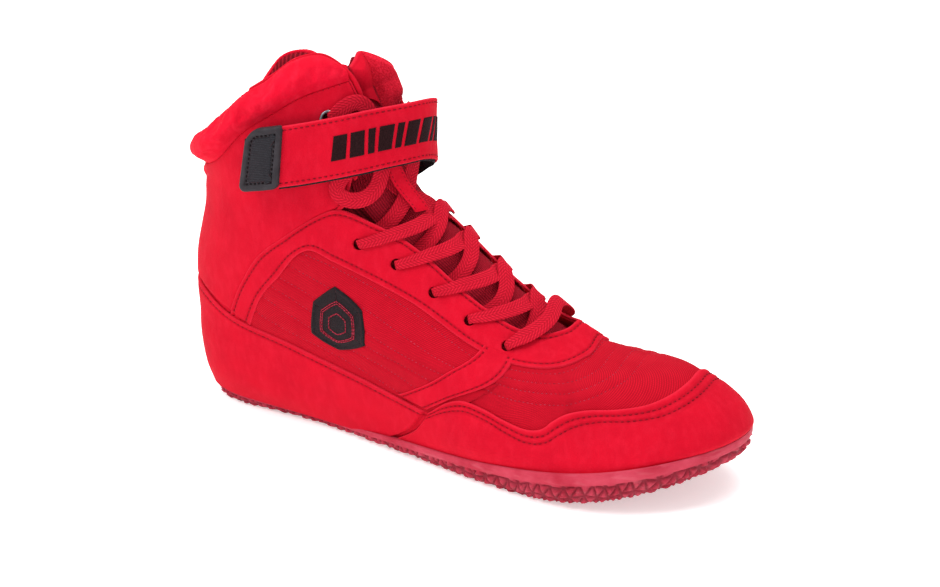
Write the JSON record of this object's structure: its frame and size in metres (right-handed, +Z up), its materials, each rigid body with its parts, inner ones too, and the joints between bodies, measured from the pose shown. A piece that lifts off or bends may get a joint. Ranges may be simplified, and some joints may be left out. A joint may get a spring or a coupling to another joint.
{
  "type": "boxing boot",
  "caption": "Right high-top boxing boot in suede and mesh: padded collar, laced throat, padded tongue, peel-open ankle strap with moulded tab, thin rubber sole.",
  "frame": {"origin": "middle of the bounding box at ground level", "axes": "+X to the toe, +Z up, +Y to the inner (medial) side; the outer side with the strap end is -Y"},
  "size_m": [0.287, 0.0964, 0.1828],
  "materials": {
    "suede": "fine nap, matt",
    "knit": "woven mesh, matt",
    "ribbed_lining": "ribbed knit, matt",
    "webbing": "flat woven lace, matt",
    "sole_rubber": "matt, textured",
    "moulded_tab": "moulded, low sheen",
    "hook_tape": "hook-and-loop tape",
    "foam": "soft foam",
    "board": "pressed fibre board",
    "embroidery": "satin stitch thread",
    "eyelet_metal": "gunmetal"
  },
  "bodies": {
    "boot": {"foxing": "suede", "toe_cap": "suede", "eyestay": "suede", "side_strip_lateral": "suede", "side_strip_medial": "suede", "ankle_panel_lateral": "suede", "ankle_panel_medial": "suede", "achilles_panel": "suede", "collar_panel": "suede", "front_binding_lateral": "suede", "front_binding_medial": "suede", "lace_keeper": "suede", "strap_base": "suede", "vamp_mesh": "knit", "quarter_mesh_lateral": "knit", "quarter_mesh_medial": "knit", "tongue_outer": "knit", "sockliner": "knit", "quarter_lining_lateral": "ribbed_lining", "quarter_lining_medial": "ribbed_lining", "vamp_lining": "ribbed_lining", "tongue_lining": "ribbed_lining", "lace": "webbing", "outsole": "sole_rubber", "loop_patch": "hook_tape", "collar_foam": "foam", "ankle_foam_lateral": "foam", "ankle_foam_medial": "foam", "tongue_foam": "foam", "insole_board": "board", "heel_counter": "board", "toe_puff": "board", "emblem_patch": "embroidery", "top_eyelet_lateral": "eyelet_metal", "top_eyelet_medial": "eyelet_metal"},
    "strap_front_body": {"strap_front": "suede"},
    "strap_end_body": {"strap_flap": "suede", "strap_tab": "moulded_tab", "hook_patch": "hook_tape"},
    "tongue_top_body": {"tongue_top_panel": "suede", "tongue_top_band": "knit", "tongue_top_foam": "foam", "tongue_top_lining": "ribbed_lining"}
  },
  "joints": [
    {"name": "strap_wrap", "type": "hinge", "parent": "boot", "child": "strap_front_body", "pos_m": [-0.0255, 0.0248, 0.1401], "axis": [-0.2845, 0.2924, 0.913], "range_deg": [0, 85]},
    {"name": "strap_peel", "type": "hinge", "parent": "strap_front_body", "child": "strap_end_body", "pos_m": [-0.02, -0.01, 0.1487], "axis": [-0.0141, -0.0269, 0.9995], "range_deg": [0, 100]},
    {"name": "tongue_flex", "type": "hinge", "parent": "boot", "child": "tongue_top_body", "pos_m": [-0.047, 0.002, 0.165], "axis": [0, 1, 0], "range_deg": [-10, 12]}
  ]
}
